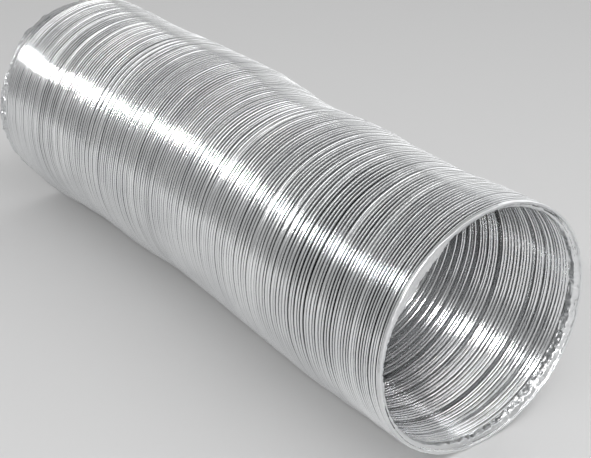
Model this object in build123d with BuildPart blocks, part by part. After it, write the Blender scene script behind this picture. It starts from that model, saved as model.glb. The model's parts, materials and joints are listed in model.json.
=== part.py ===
from build123d import *
import math
import os

# Semi-rigid flexible air duct, lying on a flat surface with its axis along X.
# The wall is one aluminium strip, rolled into ribs and wound as a right-hand
# helix whose edges lock together. Each turn of the strip is its own ring here,
# and the two cut ends of the duct are a folded hem and a flared cuff.
# Units are millimetres, +Z is up, and the folded end faces +X.

# Overall sizes, with the duct pushed together
spigot_diameter = 160.0
spigot_clearance = 0.25
duct_length = 500.0

# Wall
foil_wall = 0.25
rib_depth = 3.25
turn_count = 36
ribs_per_turn = 5
turn_gap = 0.5
crest_share = 0.30
valley_share = 0.25

# Ends
hem_length = 8.0
hem_inset = 0.75
cuff_length = 8.0
cuff_lip = 2.6

# Sideways bows of the centreline: the peak shift, its place as a share of the
# length from the +X end, and the share it takes to fade out each way
front_bow = (-4.1, 0.20, 0.20)
rear_bow = (8.0, 0.60, 0.36)

# Worked out from the values above
bore_radius = spigot_diameter / 2 + spigot_clearance
valley_radius = bore_radius + hem_inset + foil_wall
outer_radius = valley_radius + rib_depth
axis_height = outer_radius
front_end = duct_length / 2
rear_end = -duct_length / 2
turn_pitch = (duct_length - hem_length - cuff_length) / turn_count
turn_width = turn_pitch - turn_gap
rib_pitch = turn_width / ribs_per_turn

os.makedirs("parts", exist_ok=True)


def bow_shift(share, bow):
    """One smooth bow: a squared cosine that is level where it fades out."""
    peak, centre, reach = bow
    distance = abs(share - centre)
    if distance >= reach:
        return 0.0
    return peak * math.cos(math.pi / 2 * distance / reach) ** 2


def centre_shift(x):
    """Sideways place of the duct's centreline at x."""
    share = (front_end - x) / duct_length
    return bow_shift(share, front_bow) + bow_shift(share, rear_bow)


def section_plane(x, y):
    """Half-section plane at x: local X runs back along the duct, local Y up from its axis."""
    return Plane(origin=(x, y, axis_height), x_dir=(-1, 0, 0), z_dir=(0, 1, 0))


def rib_points(width):
    """Foil line of one turn: level valleys and crests joined by steep flanks."""
    crest = crest_share * rib_pitch
    valley = valley_share * rib_pitch
    flank = (rib_pitch - crest - valley) / 2
    points = [(0, valley_radius)]
    for rib in range(ribs_per_turn):
        start = rib * rib_pitch + valley / 2
        points += [
            (start, valley_radius),
            (start + flank, outer_radius),
            (start + flank + crest, outer_radius),
            (start + 2 * flank + crest, valley_radius),
        ]
    points.append((width, valley_radius))
    return points


# The origin lies under the middle of the duct's bounding box, so the straight
# ends stand beside it by half of what the two bows differ
turn_fronts = [
    front_end - hem_length - turn_gap / 2 - index * turn_pitch for index in range(turn_count)
]
bow_shifts = [centre_shift(front - turn_width / 2) for front in turn_fronts]
end_y = -(max(bow_shifts) + min(bow_shifts)) / 2
turn_ys = [end_y + shift for shift in bow_shifts]

# Turns of the strip, numbered from the +X end
for number, (turn_front, turn_y) in enumerate(zip(turn_fronts, turn_ys), start=1):
    with BuildPart() as strip_turn:
        with BuildSketch(section_plane(turn_front, turn_y)):
            with BuildLine():
                Polyline(*rib_points(turn_width))
                offset(amount=foil_wall, side=Side.RIGHT, kind=Kind.INTERSECTION, closed=True)
            make_face()
        revolve(axis=Axis((0, turn_y, axis_height), (1, 0, 0)))
    strip_turn.part.label = f"strip_turn_{number:02d}"
    export_step(strip_turn.part, f"parts/{strip_turn.part.label}.step")

# Folded hem at the +X end: the foil turns in over the rim and runs back inside
hem_back = hem_length - turn_gap / 2
fold_radius = (outer_radius - bore_radius) / 2
fold_centre = bore_radius + fold_radius
with BuildPart() as front_hem:
    with BuildSketch(section_plane(front_end, end_y)):
        with BuildLine():
            Line((hem_back, outer_radius), (fold_radius, outer_radius))
            ThreePointArc(
                (fold_radius, outer_radius), (0, fold_centre), (fold_radius, bore_radius)
            )
            Line((fold_radius, bore_radius), (hem_back, bore_radius))
            Line((hem_back, bore_radius), (hem_back, bore_radius + foil_wall))
            Line((hem_back, bore_radius + foil_wall), (fold_radius, bore_radius + foil_wall))
            ThreePointArc(
                (fold_radius, bore_radius + foil_wall),
                (foil_wall, fold_centre),
                (fold_radius, outer_radius - foil_wall),
            )
            Line((fold_radius, outer_radius - foil_wall), (hem_back, outer_radius - foil_wall))
            Line((hem_back, outer_radius - foil_wall), (hem_back, outer_radius))
        make_face()
    revolve(axis=Axis((0, end_y, axis_height), (1, 0, 0)))
front_hem.part.label = "front_hem"
export_step(front_hem.part, "parts/front_hem.step")

# Plain cuff at the -X end: a straight collar whose cut edge flares outward
cuff_front = cuff_length - turn_gap / 2
lip_inner = outer_radius - foil_wall
with BuildPart() as rear_cuff:
    with BuildSketch(section_plane(rear_end + cuff_front, end_y)):
        with BuildLine():
            Polyline(
                (0, bore_radius),
                (cuff_front - cuff_lip, bore_radius),
                (cuff_front, lip_inner),
                (cuff_front, outer_radius),
                (cuff_front - cuff_lip, bore_radius + foil_wall),
                (0, bore_radius + foil_wall),
                close=True,
            )
        make_face()
    revolve(axis=Axis((0, end_y, axis_height), (1, 0, 0)))
rear_cuff.part.label = "rear_cuff"
export_step(rear_cuff.part, "parts/rear_cuff.step")
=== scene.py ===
import bpy
import json
import math
import numpy as np
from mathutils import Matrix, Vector

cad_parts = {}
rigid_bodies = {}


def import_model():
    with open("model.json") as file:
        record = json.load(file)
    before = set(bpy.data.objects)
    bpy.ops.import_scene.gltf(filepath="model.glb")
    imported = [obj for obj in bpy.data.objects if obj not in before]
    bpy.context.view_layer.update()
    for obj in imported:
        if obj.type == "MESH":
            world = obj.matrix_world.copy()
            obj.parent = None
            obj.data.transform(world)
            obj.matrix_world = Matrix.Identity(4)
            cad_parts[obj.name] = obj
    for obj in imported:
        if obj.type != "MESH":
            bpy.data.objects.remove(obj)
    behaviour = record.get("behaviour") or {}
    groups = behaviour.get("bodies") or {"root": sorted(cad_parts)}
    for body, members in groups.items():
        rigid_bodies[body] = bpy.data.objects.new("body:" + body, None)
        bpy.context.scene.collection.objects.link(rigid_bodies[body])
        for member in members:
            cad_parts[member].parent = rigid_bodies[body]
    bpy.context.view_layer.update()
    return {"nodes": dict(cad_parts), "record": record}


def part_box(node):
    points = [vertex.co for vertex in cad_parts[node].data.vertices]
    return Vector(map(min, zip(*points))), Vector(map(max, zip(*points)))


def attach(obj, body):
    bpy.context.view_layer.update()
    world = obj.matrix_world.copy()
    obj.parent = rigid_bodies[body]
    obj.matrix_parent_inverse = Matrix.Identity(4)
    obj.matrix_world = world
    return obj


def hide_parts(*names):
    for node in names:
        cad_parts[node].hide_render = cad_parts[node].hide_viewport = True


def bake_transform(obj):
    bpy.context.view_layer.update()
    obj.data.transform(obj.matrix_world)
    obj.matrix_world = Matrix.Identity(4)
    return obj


# Looks of the flexible air duct: one helically wound strip of ribbed aluminium foil, with a folded
# and crumpled rim in front and a torn, flared rim behind. Metres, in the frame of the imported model.
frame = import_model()

MM = 0.001
FULL = 2 * math.pi

# ---------------------------------------------------------------- places read from the frame
turn_names = sorted(n for n in frame["nodes"] if n.startswith("strip_turn_"))
turn_boxes = [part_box(n) for n in turn_names]
turn_count = len(turn_names)
outer_radius = (turn_boxes[0][1][2] - turn_boxes[0][0][2]) / 2
axis_height = (turn_boxes[0][1][2] + turn_boxes[0][0][2]) / 2
turn_middles = np.array([(low[0] + high[0]) / 2 for low, high in turn_boxes])
turn_centres_y = np.array([(low[1] + high[1]) / 2 for low, high in turn_boxes])
turn_pitch = float(turn_middles[0] - turn_middles[-1]) / (turn_count - 1)
hem_low, hem_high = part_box("front_hem")
end_y = (hem_low[1] + hem_high[1]) / 2
front_end = hem_high[0]
rear_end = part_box("rear_cuff")[0][0]
behaviour = frame["record"]["behaviour"]
body_of = {node: body for body, nodes in behaviour["bodies"].items() for node in nodes}
joint_type = {
    frozenset((joint["parent"], joint["child"])): joint["type"] for joint in behaviour["joints"]
}
turn_bodies = [body_of[n] for n in turn_names]

# ---------------------------------------------------------------- shape of the ribbed wall
RIBS_PER_TURN = 5
# in each turn, the rib that holds the folded seam stands proud, and one valley stays more open
SEAM_RIB = 2
OPEN_VALLEY = 0
COLUMNS = 220
FOIL = 0.25 * MM
RIB_DEPTH = 3.3 * MM
INNER_DEPTH = 1.05 * MM
VALLEY_RADIUS = outer_radius - RIB_DEPTH
# foil in one rib laid flat, over the pitch
UNFOLDED = 3.0
# how far the ribs lean to follow a bow of the centreline, as a share of its slope
TILT = 0.6
# the ribs stand closest at the front end, and are pulled open a little round three places:
# middle and reach along X in metres, and the change as a share of the usual pitch
RIB_PITCH = 2.85 * MM
PITCH_BUMPS = (
    (0.055, 0.075, 0.19),
    (-0.030, 0.022, 0.14),
    (-0.130, 0.025, 0.09),
    (0.250, 0.095, -0.18),
)
# share of the pitch and share of the depth at each row of one rib, valley to valley
RIB_ROWS = np.array(
    [
        (0.0, 0.0),
        (0.12, 0.12),
        (0.22, 0.62),
        (0.34, 0.93),
        (0.5, 1.0),
        (0.66, 0.93),
        (0.78, 0.62),
        (0.88, 0.12),
    ]
)
ROWS = len(RIB_ROWS)
# wide hollows and swellings from handling: middle and reach along X in metres, middle and reach round
# the duct in degrees, and the height in metres
HANDLED = (
    (0.028, 0.080, 122, 85, -5.2 * MM),
    (0.190, 0.045, 130, 60, -1.0 * MM),
    (-0.235, 0.075, 125, 80, 3.0 * MM),
    (0.125, 0.115, -50, 80, -2.7 * MM),
    (-0.075, 0.070, -48, 75, 3.0 * MM),
    (-0.210, 0.050, -48, 60, 2.2 * MM),
)


# ---------------------------------------------------------------- repeatable noise
def hashed(ix, iy, iz, seed):
    """A repeatable number from -1 to 1 for each whole-number place."""
    mask = 0xFFFFFFFF
    mixed = (ix * 374761393 + iy * 668265263 + iz * 1440662683 + seed * 974634777) & mask
    mixed = ((mixed ^ (mixed >> 13)) * 1274126177) & mask
    mixed = ((mixed ^ (mixed >> 15)) * 1103515245) & mask
    mixed = mixed ^ (mixed >> 16)
    return mixed / mask * 2 - 1


def noise3(points, cell, seed):
    """Smooth noise from -1 to 1 through space, one lump about every cell."""
    places = np.asarray(points) / cell
    base = np.floor(places).astype(np.int64)
    blend = places - base
    blend = blend * blend * (3 - 2 * blend)
    total = np.zeros(places.shape[:-1])
    for corner in np.ndindex(2, 2, 2):
        weight = np.ones(places.shape[:-1])
        for axis in range(3):
            share = blend[..., axis]
            weight = weight * (share if corner[axis] else 1 - share)
        ix, iy, iz = (base[..., axis] + corner[axis] for axis in range(3))
        total += weight * hashed(ix, iy, iz, seed)
    return total


def noise1(along, track, seed):
    """Smooth noise from -1 to 1 along a line, with its own run for each track."""
    base = np.floor(along).astype(np.int64)
    blend = along - base
    blend = blend * blend * (3 - 2 * blend)
    track = np.asarray(track, np.int64)
    start = hashed(base, track, track * 0, seed)
    end = hashed(base + 1, track, track * 0, seed)
    return start * (1 - blend) + end * blend


def smoothstep(share):
    """0 up to 0, 1 from 1 on, and smooth between."""
    share = np.clip(share, 0, 1)
    return share * share * (3 - 2 * share)


def ring_noise(angle, per_turn, seed):
    """Smooth noise round the duct that closes on itself, with per_turn lumps in a turn."""
    radius = per_turn / FULL
    circle = np.stack((radius * np.cos(angle), radius * np.sin(angle), 0 * angle + seed * 3.7), axis=-1)
    return noise3(circle, 1.0, seed)


def crumpled(space, size, seed):
    """Sharp-edged lumps for crumpled foil, from folded noise in space, about -1 to 1."""
    total = np.zeros(space.shape[:-1])
    for octave, (shrink, weight) in enumerate(((1.0, 0.55), (0.55, 0.3), (0.3, 0.15))):
        total += weight * (1 - 3 * np.abs(noise3(space, size * shrink, seed + octave)))
    return total


# ---------------------------------------------------------------- centreline
# through the middles of the turns, smoothed over about one turn each way
LINE_STEP = 1 * MM
line_x = np.arange(rear_end - 30 * MM, front_end + 30 * MM, LINE_STEP)
known_x = np.concatenate(([rear_end], turn_middles[::-1], [front_end]))
known_y = np.concatenate(([end_y], turn_centres_y[::-1], [end_y]))
window = np.hanning(2 * round(turn_pitch / LINE_STEP) + 1)
padded = np.pad(np.interp(line_x, known_x, known_y), len(window) // 2, mode="edge")
line_y = np.convolve(padded, window / window.sum(), mode="valid")
line_slope = np.gradient(line_y, LINE_STEP)


def centre_y(x):
    """Where the centreline lies along Y at x."""
    return np.interp(x, line_x, line_y)


def centre_slope(x):
    """Slope of the centreline at x."""
    return np.interp(x, line_x, line_slope)


rib_pitches = np.full(len(line_x), RIB_PITCH)
for bump_x, reach, change in PITCH_BUMPS:
    rib_pitches *= 1 + change * smoothstep(1 - np.abs(line_x - bump_x) / reach)
ribs_behind_front = np.cumsum(LINE_STEP / rib_pitches)
ribs_behind_front = np.interp(front_end, line_x, ribs_behind_front) - ribs_behind_front


def rib_place(rib):
    """Where along X a count of ribs behind the front end lies."""
    return np.interp(-rib, -ribs_behind_front, line_x)


def place(x, angle, radius):
    """Point of the duct at x along it: angle 0 faces -Y and a quarter turn faces up."""
    sideways = -radius * np.cos(angle)
    upwards = radius * np.sin(angle)
    leaning = TILT * centre_slope(x)
    return np.stack((x - leaning * sideways, centre_y(x) + sideways, axis_height + upwards), axis=-1)


def on_floor(points, clearance=0.05 * MM):
    """Keeps foil that would dip under the floor just on it."""
    points[..., 2] = np.maximum(points[..., 2], clearance)
    return points


# ---------------------------------------------------------------- where the wall parts for the joints
# Plane k, counted from the front, moves with turn k alone. A sliding stretch takes more wall than
# a bending one, because it opens further.
SLIDE_BIAS = 0.8 * MM
# valleys keep near their even places within this of a plane
PLANE_FADE = 2.0 * MM
planes = turn_middles.copy()
for index in range(turn_count - 1):
    kind = joint_type[frozenset((turn_bodies[index], turn_bodies[index + 1]))]
    move = SLIDE_BIAS / 2 if kind == "slide" else -SLIDE_BIAS / 2
    planes[index] += move
    planes[index + 1] -= move
WALL_FRONT = front_end - 1.7 * MM
WALL_REAR = rear_end + 3.5 * MM


# ---------------------------------------------------------------- ribbed wall
def rib_track(rib, angle):
    """The strip's own coordinates of a rib: its track across the strip, and turns along the strip."""
    return np.mod(rib, RIBS_PER_TURN), np.floor_divide(rib, RIBS_PER_TURN) + angle / FULL


def valley_shift(rib, angle):
    """How far a valley lies off its even place, as a share of the pitch."""
    track, along = rib_track(rib, angle)
    slow = noise1(along * 1.3 + track * 7.7, track, 11)
    quick = noise1(along * 4.1 + track * 3.1, track, 12)
    return 0.20 * slow + 0.08 * quick


def valley_fill(rib, angle):
    """How far a valley is closed up, as a share of the depth."""
    track, along = rib_track(rib, angle)
    slow = noise1(along * 1.1 + track * 5.3, track, 21)
    quick = noise1(along * 5.0 + track * 2.9, track, 22)
    opened = np.where(track == OPEN_VALLEY, -0.30, 0.0)
    return np.clip(0.15 + 0.40 * slow + 0.15 * quick + opened, 0.0, 0.6)


def crest_height(rib, angle):
    """Height of a crest, as a share of the depth."""
    track, along = rib_track(rib, angle)
    slow = noise1(along * 1.7 + track * 9.1, track, 31)
    quick = noise1(along * 7.0 + track * 4.3, track, 32)
    seam = np.where(track == SEAM_RIB, 0.05, 0.0)
    return 0.93 + 0.07 * slow + 0.03 * quick + seam


def near_angle(angle, middle, reach):
    """1 at an angle round the duct, in degrees, fading to 0 at reach degrees from it."""
    away = np.abs(np.mod(np.degrees(angle) - middle + 180, 360) - 180)
    return smoothstep(1 - away / reach)


def handled(x, angle):
    """How far handling has pushed the wall out at a place."""
    total = 0.0
    for middle_x, reach_x, middle_angle, reach_angle, height in HANDLED:
        along = smoothstep(1 - np.abs(x - middle_x) / reach_x)
        total = total + height * along * near_angle(angle, middle_angle, reach_angle)
    return total


def wall_surface(rows, angles):
    """Points of the wall at whole rows, counted from the front at angle 0, and at angles.

    These are its outside, its inside, their even places along X, and 0 on a crest to 1 deep in a valley.
    """
    rows, angles = np.meshgrid(rows, angles, indexing="ij")
    rib = np.floor_divide(rows, ROWS)
    share, height = (RIB_ROWS[np.mod(rows, ROWS), k] for k in (0, 1))
    even_x = rib_place(rib + share + RIBS_PER_TURN * angles / FULL)
    gap = np.min(np.abs(even_x[..., None] - planes), axis=-1)
    freedom = smoothstep(gap / PLANE_FADE) * 0.9 + 0.1
    shift = (1 - share) * valley_shift(rib, angles) + share * valley_shift(rib + 1, angles)
    x = even_x - shift * freedom * RIB_PITCH
    valley = (1 - share) * valley_fill(rib, angles) + share * valley_fill(rib + 1, angles)
    level = valley + (crest_height(rib, angles) - valley) * height
    spot = place(even_x, angles, outer_radius)
    dents = 0.7 * MM * noise3(spot, 75 * MM, 41) + 0.35 * MM * noise3(spot, 26 * MM, 42)
    dents = dents + handled(even_x, angles)
    radius = VALLEY_RADIUS + RIB_DEPTH * level + dents
    # inside, the folds lie close together, so the ribs are shallow waves with narrow ridges between them
    ridge = 1.3 * valley * (1 - np.abs(np.sin(math.pi * share)) ** 0.7)
    waves = INNER_DEPTH * (np.abs(np.sin(math.pi * share)) ** 0.8 + ridge)
    inner_radius = VALLEY_RADIUS - FOIL + waves + dents
    return place(x, angles, radius), place(x, angles, inner_radius), even_x, 1 - level


def grid_normals(points):
    """Unit normals of a grid of points, from the rows and columns each side; the rim rows are left out."""
    down = points[2:, 1:-1] - points[:-2, 1:-1]
    across = points[1:-1, 2:] - points[1:-1, :-2]
    normals = np.cross(down, across)
    return normals / np.maximum(np.linalg.norm(normals, axis=-1, keepdims=True), 1e-12)


def build_shell(name, outer, inner, outer_normals, inner_normals, groove, quads, uv, material):
    """A closed thin sheet from matching outer and inner points. uv has a pair for each corner of quads.

    groove is 0 on the crests outside and 1 in the valleys between them; the material paints shade into the
    outer valleys with it, and the inside gets none.
    """
    used, local = np.unique(quads, return_inverse=True)
    local = local.reshape(quads.shape)
    count = len(used)
    edges = np.stack((local, np.roll(local, -1, axis=1)), axis=-1).reshape(-1, 2)
    edge_uv = np.stack((uv, np.roll(uv, -1, axis=1)), axis=2).reshape(-1, 2, 2)
    key = np.sort(edges, axis=1) @ np.array([count, 1])
    _, first, times = np.unique(key, return_index=True, return_counts=True)
    rim = first[times == 1]
    rim_corners = (edges[rim, 1], edges[rim, 0], edges[rim, 0] + count, edges[rim, 1] + count)
    rim_quads = np.stack(rim_corners, axis=1)
    rim_uv = np.stack((edge_uv[rim, 1], edge_uv[rim, 0], edge_uv[rim, 0], edge_uv[rim, 1]), axis=1)
    faces = np.concatenate((local, local[:, ::-1] + count, rim_quads))
    corner_uv = np.concatenate((uv, uv[:, ::-1], rim_uv)).reshape(-1, 2)
    points = np.concatenate((outer[used], inner[used]))
    mesh = bpy.data.meshes.new(name)
    mesh.vertices.add(len(points))
    mesh.vertices.foreach_set("co", points.astype(np.float32).ravel())
    mesh.loops.add(faces.size)
    mesh.loops.foreach_set("vertex_index", faces.astype(np.int32).ravel())
    mesh.polygons.add(len(faces))
    mesh.polygons.foreach_set("loop_start", np.arange(0, faces.size, 4, dtype=np.int32))
    mesh.polygons.foreach_set("use_smooth", np.ones(len(faces), bool))
    layer = mesh.uv_layers.new(name="strip")
    mesh.update(calc_edges=True)
    layer.uv.foreach_set("vector", corner_uv.astype(np.float32).ravel())
    mesh.materials.append(material)
    both = np.concatenate((outer_normals[used], -inner_normals[used]))
    mesh.normals_split_custom_set_from_vertices(both.astype(np.float32))
    depth = mesh.attributes.new("groove", "FLOAT", "POINT")
    depth.data.foreach_set("value", np.concatenate((groove[used], 0 * groove[used])).astype(np.float32))
    piece = bpy.data.objects.new(name, mesh)
    bpy.context.collection.objects.link(piece)
    return piece


# ---------------------------------------------------------------- materials
# uv is metres along the strip and metres across it, and a streak has this many lumps in a metre of each
STREAK_SCALE = (55.0, 2600.0, 1.0)
STREAK_RELIEF = 0.06 * MM
CLOUD_SCALE = 28.0
# near-black colour mixed into the valleys as painted shade, standing in for the shadow deep between the
# ribs
VALLEY_SHADE_COLOUR = (0.03, 0.033, 0.036, 1.0)


def node_of(tree, kind, **inputs):
    """A shader node with its inputs set by name."""
    node = tree.nodes.new(kind)
    for name, value in inputs.items():
        node.inputs[name.replace("_", " ")].default_value = value
    return node


def foil_material(name, tint, dark_tint, smooth, rough, streak_bump, painted_valley_shade):
    """Bright rolled aluminium: streaks run along the strip, with cloudy patches of wear and handling, and
    painted shade darkening the valleys by the groove attribute.
    """
    material = bpy.data.materials.new(name)
    material.use_nodes = True
    tree = material.node_tree
    shader = tree.nodes["Principled BSDF"]
    shader.inputs["Metallic"].default_value = 1.0
    strip = tree.nodes.new("ShaderNodeUVMap")
    strip.uv_map = "strip"
    rolled = tree.nodes.new("ShaderNodeMapping")
    rolled.inputs["Scale"].default_value = STREAK_SCALE
    tree.links.new(strip.outputs["UV"], rolled.inputs["Vector"])
    streaks = node_of(tree, "ShaderNodeTexNoise", Scale=1.0, Detail=3.0, Roughness=0.6)
    tree.links.new(rolled.outputs["Vector"], streaks.inputs["Vector"])
    place_in = tree.nodes.new("ShaderNodeTexCoord")
    clouds = node_of(tree, "ShaderNodeTexNoise", Scale=CLOUD_SCALE, Detail=4.0, Roughness=0.55)
    tree.links.new(place_in.outputs["Object"], clouds.inputs["Vector"])
    colour = tree.nodes.new("ShaderNodeMix")
    colour.data_type = "RGBA"
    colour.inputs["A"].default_value = (*dark_tint, 1.0)
    colour.inputs["B"].default_value = (*tint, 1.0)
    patches = node_of(tree, "ShaderNodeMapRange", From_Min=0.38, From_Max=0.62)
    tree.links.new(clouds.outputs["Fac"], patches.inputs["Value"])
    tree.links.new(patches.outputs["Result"], colour.inputs["Factor"])
    # painted shade: deep in the valleys the base colour goes towards near black
    groove = tree.nodes.new("ShaderNodeAttribute")
    groove.attribute_name = "groove"
    valley_shade_amount = node_of(tree, "ShaderNodeMapRange", From_Min=0.18, From_Max=0.62, To_Min=0.0, To_Max=painted_valley_shade)
    tree.links.new(groove.outputs["Fac"], valley_shade_amount.inputs["Value"])
    valley_shaded_colour = tree.nodes.new("ShaderNodeMix")
    valley_shaded_colour.data_type = "RGBA"
    valley_shaded_colour.inputs["B"].default_value = VALLEY_SHADE_COLOUR
    tree.links.new(colour.outputs["Result"], valley_shaded_colour.inputs["A"])
    tree.links.new(valley_shade_amount.outputs["Result"], valley_shaded_colour.inputs["Factor"])
    tree.links.new(valley_shaded_colour.outputs["Result"], shader.inputs["Base Color"])
    spread = node_of(tree, "ShaderNodeMapRange", From_Min=0.3, From_Max=0.7, To_Min=smooth, To_Max=rough)
    tree.links.new(streaks.outputs["Fac"], spread.inputs["Value"])
    tree.links.new(spread.outputs["Result"], shader.inputs["Roughness"])
    bump = node_of(tree, "ShaderNodeBump", Strength=streak_bump, Distance=STREAK_RELIEF)
    tree.links.new(streaks.outputs["Fac"], bump.inputs["Height"])
    tree.links.new(bump.outputs["Normal"], shader.inputs["Normal"])
    return material


# the ribbed foil gets strong painted shade in its valleys; the cut and folded foil get none
ribbed_foil = foil_material(
    "ribbed_foil",
    tint=(0.88, 0.89, 0.895),
    dark_tint=(0.79, 0.80, 0.81),
    smooth=0.11,
    rough=0.22,
    streak_bump=0.22,
    painted_valley_shade=0.93,
)
cut_foil = foil_material(
    "cut_foil",
    tint=(0.80, 0.81, 0.82),
    dark_tint=(0.70, 0.71, 0.72),
    smooth=0.18,
    rough=0.34,
    streak_bump=0.5,
    painted_valley_shade=0.0,
)
folded_foil = foil_material(
    "folded_foil",
    tint=(0.86, 0.87, 0.875),
    dark_tint=(0.76, 0.77, 0.78),
    smooth=0.26,
    rough=0.42,
    streak_bump=0.5,
    painted_valley_shade=0.0,
)

# ---------------------------------------------------------------- build the wall, one piece for each joint
turn_rows = RIBS_PER_TURN * ROWS
first_row = -turn_rows
last_row = math.ceil(ribs_behind_front.max() - RIBS_PER_TURN * 2) * ROWS
rows = np.arange(first_row - 1, last_row + turn_rows + 2)
angles = np.arange(-1, COLUMNS + 1) * FULL / COLUMNS
outer_grid, inner_grid, even_grid, groove_grid = wall_surface(rows, angles)
outer_grid, inner_grid = on_floor(outer_grid), on_floor(inner_grid)
outer_normals, inner_normals = (grid_normals(grid).reshape(-1, 3) for grid in (outer_grid, inner_grid))
wall_outer, wall_inner = (grid[1:-1, 1:-1].reshape(-1, 3) for grid in (outer_grid, inner_grid))
even_grid = even_grid[1:-1, 1:-1]
wall_groove = groove_grid[1:-1, 1:-1].reshape(-1)

quad_rows = np.arange(last_row - first_row)[:, None]
quad_columns = np.arange(COLUMNS)[None, :]
next_columns = np.mod(quad_columns + 1, COLUMNS)
wrapped = np.where(quad_columns == COLUMNS - 1, turn_rows, 0)
corners = (
    (quad_rows, quad_columns),
    (quad_rows + 1, quad_columns),
    (quad_rows + 1 + wrapped, next_columns),
    (quad_rows + wrapped, next_columns),
)
wall_quads = np.stack([row * COLUMNS + column + 0 * quad_rows for row, column in corners], axis=-1)
quad_x = (even_grid[quad_rows, quad_columns] + even_grid[quad_rows + 1, quad_columns]) / 2

rows_behind = quad_rows + first_row
turn_length = FULL * outer_radius
step_along = turn_length / COLUMNS
step_across = RIB_PITCH / ROWS * UNFOLDED
along = quad_columns * step_along + np.floor_divide(rows_behind, turn_rows) * turn_length
across = np.mod(rows_behind, turn_rows) * step_across
uv_corners = [
    (along + columns_on * step_along + 0 * across, across + rows_on * step_across + 0 * along)
    for columns_on, rows_on in ((0, 0), (0, 1), (1, 1), (1, 0))
]
wall_uv = np.stack([np.stack(corner, axis=-1) for corner in uv_corners], axis=-2)
wall_quads, wall_uv, quad_x = wall_quads.reshape(-1, 4), wall_uv.reshape(-1, 4, 2), quad_x.reshape(-1)


def wall_piece(name, front_x, rear_x):
    """The part of the wall whose even place lies between two planes."""
    mine = (quad_x <= front_x) & (quad_x > rear_x)
    return build_shell(
        name,
        wall_outer,
        wall_inner,
        outer_normals,
        inner_normals,
        wall_groove,
        wall_quads[mine],
        wall_uv[mine],
        ribbed_foil,
    )


front_wall = wall_piece("front_wall", WALL_FRONT, planes[0])
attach(front_wall, turn_bodies[0])
for index in range(turn_count - 1):
    wall = wall_piece(f"ribbed_wall_{index + 1:02d}", planes[index], planes[index + 1])
    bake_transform(wall)
    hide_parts(turn_names[index])
rear_wall = wall_piece("rear_wall", planes[-1], WALL_REAR)
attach(rear_wall, turn_bodies[-1])
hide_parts(turn_names[-1])


# ---------------------------------------------------------------- sheets of foil round the two ends
def foil_sheet(name, points, closed, material, track_length):
    """A thin closed sheet from a grid of points: rows run across the foil and columns round the duct."""
    columns = points.shape[1]
    if closed:
        wide = np.concatenate((points[:, -1:], points, points[:, :1]), axis=1)
    else:
        ends = (2 * points[:, :1] - points[:, 1:2], 2 * points[:, -1:] - points[:, -2:-1])
        wide = np.concatenate((ends[0], points, ends[1]), axis=1)
    tall = np.concatenate((2 * wide[:1] - wide[1:2], wide, 2 * wide[-1:] - wide[-2:-1]))
    normals = grid_normals(tall).reshape(-1, 3)
    row, column = np.meshgrid(
        np.arange(points.shape[0] - 1), np.arange(columns if closed else columns - 1), indexing="ij"
    )
    after = np.mod(column + 1, columns)
    corners = ((row, column), (row + 1, column), (row + 1, after), (row, after))
    quads = np.stack([down * columns + round_it for down, round_it in corners], axis=-1)
    step = track_length / columns
    across = np.linalg.norm(points[1, 0] - points[0, 0])
    uv = np.stack(
        [
            np.stack(((column + more_columns) * step, (row + more_rows) * across), axis=-1)
            for more_rows, more_columns in ((0, 0), (1, 0), (1, 1), (0, 1))
        ],
        axis=-2,
    )
    outer = points.reshape(-1, 3)
    inner = on_floor(outer - FOIL * normals)
    no_groove = np.zeros(len(outer))
    return build_shell(
        name,
        outer,
        inner,
        normals,
        normals,
        no_groove,
        quads.reshape(-1, 4),
        uv.reshape(-1, 4, 2),
        material,
    )


def crumple_space(track, angle):
    """Where to take crumpling noise, so that it closes on itself round the duct."""
    return np.stack(
        (track, outer_radius * np.cos(angle) + 0 * track, outer_radius * np.sin(angle) + 0 * track),
        axis=-1,
    )


# ---------------------------------------------------------------- folded front hem
# An outer leg over the last rib, a round fold at the rim, and an inner leg back inside the bore
HEM_COLUMNS = 800
OUTER_LEG = 1.7 * MM
FOLD = 0.8 * MM
INNER_LEG = 6.8 * MM
OUTER_ROWS = 9
FOLD_ROWS = 12
INNER_ROWS = 26
FOLD_TOP = outer_radius - 0.3 * MM


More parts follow.
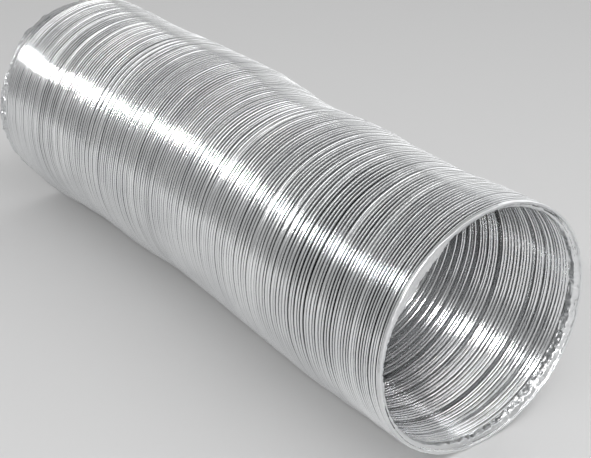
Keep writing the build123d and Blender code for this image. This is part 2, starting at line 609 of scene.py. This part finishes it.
def hem_grid():
    """Points of the front hem, from the back of its outer leg, over the rim and back inside."""
    angle = np.arange(HEM_COLUMNS) * FULL / HEM_COLUMNS
    rim_back = 0.45 * MM * ring_noise(angle, 9, 51) + 0.45 * MM * ring_noise(angle, 46, 52)
    inner_length = INNER_LEG + 1.3 * MM * ring_noise(angle, 14, 53)
    inner_length = inner_length + 0.8 * MM * ring_noise(angle, 55, 54)
    # on the upper left the inner leg hangs into the opening, and elsewhere it lies back along the wall
    hang = near_angle(angle, 44, 46)
    lift = (
        4.6 * MM * hang * (1 + 0.35 * ring_noise(angle, 30, 55))
        + 1.2 * MM * near_angle(angle, 232, 30)
        + 0.8 * MM * np.abs(ring_noise(angle, 18, 56))
    )
    wave = 2.4 * MM * hang * (0.5 + 0.5 * ring_noise(angle, 36, 57))
    # how strongly the foil is crumpled: most at the lower right, where the rim has been pressed in
    crumple = 0.40 + 0.55 * near_angle(angle, 235, 75) + 0.20 * near_angle(angle, 150, 60)
    crumple = crumple + 0.35 * near_angle(angle, 30, 45)

    back, radius, roughening = [], [], []
    for share in np.linspace(0, 1, OUTER_ROWS, endpoint=False):
        back.append(-FOLD - OUTER_LEG * (1 - share) - rim_back)
        radius.append(outer_radius - 0.05 * MM - 0.25 * MM * share + 0 * angle)
        roughening.append(0.10 + 0.10 * share + 0 * angle)
    for share in np.linspace(0, 1, FOLD_ROWS, endpoint=False):
        turn = math.pi * share
        back.append(-FOLD + FOLD * math.sin(turn) - rim_back)
        radius.append(FOLD_TOP - FOLD * (1 - math.cos(turn)) - wave * share)
        roughening.append(0.20 + (0.3 + 0.5 * hang) * share * crumple)
    for share in np.linspace(0, 1, INNER_ROWS):
        back.append(-FOLD - inner_length * share * (1 - 0.8 * hang) - rim_back)
        step_in = wave + 2.9 * MM * smoothstep(2.6 * share) * (1 - 0.5 * hang)
        radius.append(FOLD_TOP - 2 * FOLD - step_in - lift * share ** (1.6 - 0.6 * hang))
        roughening.append(0.4 + 0.5 * crumple + 1.4 * crumple * share)
    back, radius, roughening = (np.array(each) for each in (back, radius, roughening))

    track = np.linspace(0, OUTER_LEG + math.pi * FOLD + INNER_LEG, len(back))[:, None] + 0 * back
    space = crumple_space(track, angle)
    push = 0.55 * MM * roughening * crumpled(space, 4.2 * MM, 61)
    slide = 0.35 * MM * roughening * crumpled(space, 3.2 * MM, 65)
    return on_floor(place(front_end + back + slide, angle[None, :] + 0 * back, radius + push))


front_hem_fold = foil_sheet("front_hem_fold", hem_grid(), True, folded_foil, turn_length)
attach(front_hem_fold, body_of["front_hem"])
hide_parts("front_hem")

# ---------------------------------------------------------------- flared rear cuff
CUFF_COLUMNS = 700
CUFF_ROWS = 26
CUFF_OVERLAP = 6.6 * MM
CUFF_REACH = 7.0 * MM
CUFF_INSET = 1.2 * MM


def cuff_grid():
    """Points of the raw rear rim, from the last ribs to its ragged, flared edge."""
    angle = np.arange(CUFF_COLUMNS) * FULL / CUFF_COLUMNS
    reach = CUFF_REACH + 1.3 * MM * ring_noise(angle, 16, 71) + 1.0 * MM * ring_noise(angle, 70, 72)
    flare = 2.8 * MM * near_angle(angle, 2, 45) + 0.8 * MM + 0.8 * MM * ring_noise(angle, 8, 73)
    share = np.linspace(0, 1, CUFF_ROWS)[:, None]
    x = rear_end + CUFF_OVERLAP - reach * share
    radius = outer_radius - CUFF_INSET + flare * share**1.5 + 0 * x
    space = crumple_space(x, angle)
    wildness = 0.25 + 1.1 * smoothstep(share * 1.8)
    push = 0.9 * MM * wildness * crumpled(space, 5 * MM, 75)
    slide = 0.8 * MM * wildness * crumpled(space, 4.5 * MM, 78)
    return on_floor(place(x + slide, angle[None, :] + 0 * x, radius + push))


rear_cuff_foil = foil_sheet("rear_cuff_foil", cuff_grid(), True, cut_foil, turn_length)
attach(rear_cuff_foil, body_of["rear_cuff"])
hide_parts("rear_cuff")

# ---------------------------------------------------------------- loose end of the foil strip
LOOSE_COLUMNS = 150
LOOSE_ROWS = 12
LOOSE_START = 33
LOOSE_SPAN = 62
LOOSE_WIDTH = 6.5 * MM
LOOSE_LENGTH = 90 * MM


def loose_grid():
    """Points of the loose strip end: it stands off the rim at its torn corner and closes down onto it."""
    along = np.linspace(0, 1, LOOSE_COLUMNS)[None, :]
    share = np.linspace(0, 1, LOOSE_ROWS)[:, None]
    angle = np.radians(LOOSE_START + LOOSE_SPAN * along) + 0 * share
    width = LOOSE_WIDTH * smoothstep(0.25 + 2.2 * along) * (1 + 0.25 * noise1(along * 14, 0, 81))
    x = rear_end + 5.2 * MM - 0.8 * MM * noise1(along * 6, 1, 82) - width * share
    gap = 2.6 * MM * (1 - smoothstep(along * 1.15)) + 0.35 * MM
    bow = 0.35 * MM * np.sin(share * math.pi * 3)
    space = np.stack((x, angle * outer_radius, 0 * x), axis=-1)
    radius = outer_radius + gap + bow + 0.5 * MM * crumpled(space, 7 * MM, 84)
    return place(x, angle, radius)


loose_strip_end = foil_sheet("loose_strip_end", loose_grid(), False, cut_foil, LOOSE_LENGTH)
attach(loose_strip_end, body_of["rear_cuff"])

# ---------------------------------------------------------------- floor and surroundings
FLOOR_HALF = 40.0
floor_mesh = bpy.data.meshes.new("floor")
floor_corners = [(x * FLOOR_HALF, y * FLOOR_HALF, 0.0) for x, y in ((-1, -1), (1, -1), (1, 1), (-1, 1))]
floor_mesh.from_pydata(floor_corners, [], [(0, 1, 2, 3)])
floor = bpy.data.objects.new("floor", floor_mesh)
bpy.context.collection.objects.link(floor)
floor_material = bpy.data.materials.new("pale_floor")
floor_material.use_nodes = True
floor_shader = floor_material.node_tree.nodes["Principled BSDF"]
floor_shader.inputs["Base Color"].default_value = (0.70, 0.70, 0.70, 1.0)
floor_shader.inputs["Roughness"].default_value = 0.9
floor_mesh.materials.append(floor_material)

# the room is mid grey all round, and a little lighter behind the duct
ROOM_GREY = (0.40, 0.40, 0.40, 1.0)
ROOM_BACK_GREY = (0.52, 0.52, 0.52, 1.0)
world = bpy.data.worlds.new("studio")
world.use_nodes = True
world_tree = world.node_tree
way_seen = world_tree.nodes.new("ShaderNodeTexCoord")
way_parts = world_tree.nodes.new("ShaderNodeSeparateXYZ")
world_tree.links.new(way_seen.outputs["Generated"], way_parts.inputs["Vector"])
towards_back = node_of(world_tree, "ShaderNodeMapRange", From_Min=0.25, From_Max=0.75)
towards_back.interpolation_type = "SMOOTHSTEP"
world_tree.links.new(way_parts.outputs["Y"], towards_back.inputs["Value"])
room = world_tree.nodes.new("ShaderNodeMix")
room.data_type = "RGBA"
room.inputs["A"].default_value = ROOM_GREY
room.inputs["B"].default_value = ROOM_BACK_GREY
world_tree.links.new(towards_back.outputs["Result"], room.inputs["Factor"])
world_tree.links.new(room.outputs["Result"], world_tree.nodes["Background"].inputs["Color"])
scene = bpy.context.scene
scene.world = world
scene.view_settings.view_transform = "Standard"

# ---------------------------------------------------------------- lights
duct_middle = Vector((0.0, 0.0, axis_height))


def area_light(name, place_at, aim, size, power, spread=180):
    """A soft box light at a place, facing aim, that throws its light over spread degrees."""
    light = bpy.data.lights.new(name, "AREA")
    light.shape = "RECTANGLE"
    light.size, light.size_y = size
    light.energy = power
    light.spread = math.radians(spread)
    holder = bpy.data.objects.new(name, light)
    holder.location = place_at
    holder.rotation_euler = (aim - holder.location).to_track_quat("-Z", "Y").to_euler()
    bpy.context.collection.objects.link(holder)


# a long, narrow light along the duct gives the bright line on its upper near side
STRIP_ELEVATION = math.radians(41)
STRIP_DISTANCE = 1.9
strip_way = Vector((0.0, -math.cos(STRIP_ELEVATION), math.sin(STRIP_ELEVATION)))
strip_aim = duct_middle + Vector((0.1, 0.0, 0.0))
area_light("strip", strip_aim + STRIP_DISTANCE * strip_way, strip_aim, (3.6, 0.10), 2.2, 100)
# a small one beside the camera shines into the bore, and one overhead picks out the ribs
area_light("beside_camera", Vector((1.75, -1.25, 1.25)), duct_middle, (0.6, 0.18), 24)
area_light("across", Vector((1.0, 0.2, 1.9)), duct_middle, (3.0, 0.45), 14)

# soft light from behind, the same all over the floor
back_data = bpy.data.lights.new("back", "SUN")
back_data.energy = 0.5
back_data.angle = math.radians(45)
back = bpy.data.objects.new("back", back_data)
back.rotation_euler = Vector((0.6, -2.0, -0.72)).to_track_quat("-Z", "Y").to_euler()
bpy.context.collection.objects.link(back)

# ---------------------------------------------------------------- camera
# It looks at the duct from beside and above the open front end; its offset is in outer radii
CAMERA_OFFSET = Vector((5.603, -5.841, 4.873))
CAMERA_AZIMUTH = math.radians(53.6)
CAMERA_ELEVATION = math.radians(26.9)
camera_data = bpy.data.cameras.new("camera")
camera_data.sensor_width = 36.0
camera_data.lens = 78.97
camera = bpy.data.objects.new("camera", camera_data)
front_centre = Vector((front_end, end_y, axis_height))
camera.location = front_centre + outer_radius * CAMERA_OFFSET
camera.rotation_euler = (math.pi / 2 - CAMERA_ELEVATION, 0.0, CAMERA_AZIMUTH)
bpy.context.collection.objects.link(camera)
scene.camera = camera
